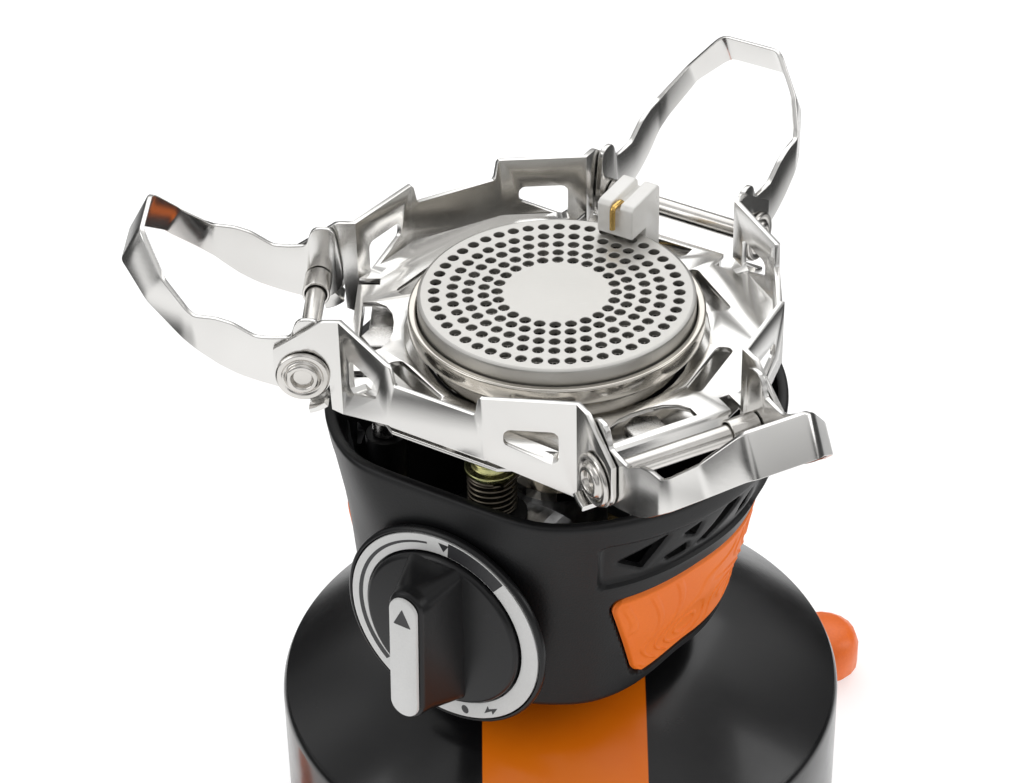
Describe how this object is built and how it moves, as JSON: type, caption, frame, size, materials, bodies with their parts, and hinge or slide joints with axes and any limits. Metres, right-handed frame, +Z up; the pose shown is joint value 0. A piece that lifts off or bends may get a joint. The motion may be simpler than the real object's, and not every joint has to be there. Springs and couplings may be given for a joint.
{
  "type": "backpacking canister stove",
  "caption": "Upright gas stove screwed onto a canister, with a fold-out three-arm pot support, igniter, control knob and tripod stabiliser.",
  "frame": {"origin": "on the ground under the canister's axis, on the underside of the stabiliser's hub rivet", "axes": "+Z up along the canister's axis. The pot support's hinges face 180, 60 and -60 degrees from +X, and the control knob faces -120 degrees."},
  "size_m": [0.1708, 0.1818, 0.1709],
  "materials": {
    "orange_nylon": "moulded, satin",
    "foot_rubber": "matt",
    "rivet_steel": "satin",
    "canister_paint": "gloss",
    "canister_tin": "satin",
    "valve_rubber": "matt",
    "housing_plastic": "fine matt texture",
    "grip_orange": "soft matt",
    "scale_grey": "satin",
    "stainless_steel": "stamped, satin",
    "burner_steel": "satin",
    "cast_aluminium": "cast",
    "brass": "turned",
    "seal_rubber": "matt",
    "electrode_ceramic": "glazed ceramic",
    "lead_insulation": "satin"
  },
  "bodies": {
    "stabiliser": {"stabiliser_leg_a": "orange_nylon", "foot_pad_a": "foot_rubber", "stabiliser_rivet": "rivet_steel"},
    "leg_b": {"stabiliser_leg_b": "orange_nylon", "foot_pad_b": "foot_rubber"},
    "leg_c": {"stabiliser_leg_c": "orange_nylon", "foot_pad_c": "foot_rubber"},
    "canister": {"canister_shell": "canister_paint", "canister_base": "canister_tin", "valve_cup": "canister_tin", "valve_stem": "canister_tin", "valve_gasket": "valve_rubber"},
    "stove": {"housing": "housing_plastic", "grip_pad_right": "grip_orange", "grip_pad_left": "grip_orange", "threaded_collar": "brass", "inlet_o_ring": "seal_rubber", "inlet_pin": "burner_steel", "regulator_body": "cast_aluminium", "spindle_o_ring": "seal_rubber", "regulator_diaphragm": "seal_rubber", "regulator_spring": "burner_steel", "spring_cap": "housing_plastic", "jet": "brass", "mixing_tube": "burner_steel", "burner_cup": "cast_aluminium", "burner_plate": "burner_steel", "burner_mesh": "stainless_steel", "heat_shield": "stainless_steel", "shield_post_left": "burner_steel", "shield_post_right": "burner_steel", "shield_post_rear": "burner_steel", "shield_nut_left": "burner_steel", "shield_nut_right": "burner_steel", "shield_nut_rear": "burner_steel", "electrode_ceramic": "electrode_ceramic", "electrode_wire": "brass", "igniter_lead": "lead_insulation", "piezo_body": "housing_plastic", "dial_bezel": "housing_plastic", "dial_ring": "scale_grey"},
    "knob": {"knob": "housing_plastic", "knob_face": "scale_grey", "valve_spindle": "burner_steel"},
    "plunger": {"piezo_plunger": "brass"},
    "pot_support": {"pot_ring": "stainless_steel", "arm_pin_left": "stainless_steel", "arm_pin_back": "stainless_steel", "arm_pin_right": "stainless_steel", "pivot_sleeve_left": "stainless_steel", "pivot_sleeve_back": "stainless_steel", "pivot_sleeve_right": "stainless_steel"},
    "arm_left": {"arm_left": "stainless_steel"},
    "arm_back": {"arm_back": "stainless_steel"},
    "arm_right": {"arm_right": "stainless_steel"}
  },
  "joints": [
    {"name": "leg_b_fold", "type": "hinge", "parent": "stabiliser", "child": "leg_b", "pos_m": [0, 0, 0], "axis": [0, 0, -1], "range_deg": [0, 75]},
    {"name": "leg_c_fold", "type": "hinge", "parent": "stabiliser", "child": "leg_c", "pos_m": [0, 0, 0], "axis": [0, 0, 1], "range_deg": [0, 75]},
    {"name": "canister_lift", "type": "slide", "parent": "stabiliser", "child": "canister", "axis": [0, 0, 1], "range_m": [0, 0.03]},
    {"name": "stove_thread", "type": "hinge", "parent": "canister", "child": "stove", "pos_m": [0, 0, 0.088], "axis": [0, 0, 1], "range_deg": [0, 1440]},
    {"name": "knob_turn", "type": "hinge", "parent": "stove", "child": "knob", "pos_m": [0.00087, -0.0005, 0.105], "axis": [-0.5, -0.866, 0], "range_deg": [0, 180]},
    {"name": "plunger_press", "type": "slide", "parent": "stove", "child": "plunger", "axis": [0.5, 0.866, 0], "range_m": [0, 0.0045]},
    {"name": "pot_support_lift", "type": "slide", "parent": "stove", "child": "pot_support", "axis": [0, 0, 1], "range_m": [0, 0.025]},
    {"name": "arm_left_fold", "type": "hinge", "parent": "pot_support", "child": "arm_left", "pos_m": [-0.0453, 0, 0.1471], "axis": [0, 1, 0], "range_deg": [0, 120]},
    {"name": "arm_back_fold", "type": "hinge", "parent": "pot_support", "child": "arm_back", "pos_m": [0.02265, 0.03923, 0.1471], "axis": [0.866, -0.5, 0], "range_deg": [0, 120]},
    {"name": "arm_right_fold", "type": "hinge", "parent": "pot_support", "child": "arm_right", "pos_m": [0.02265, -0.03923, 0.1471], "axis": [-0.866, -0.5, 0], "range_deg": [0, 120]}
  ],
  "couplings": [
    {"joint": "plunger_press", "follows": "knob_turn", "m_per_rad": 0.001273}
  ]
}
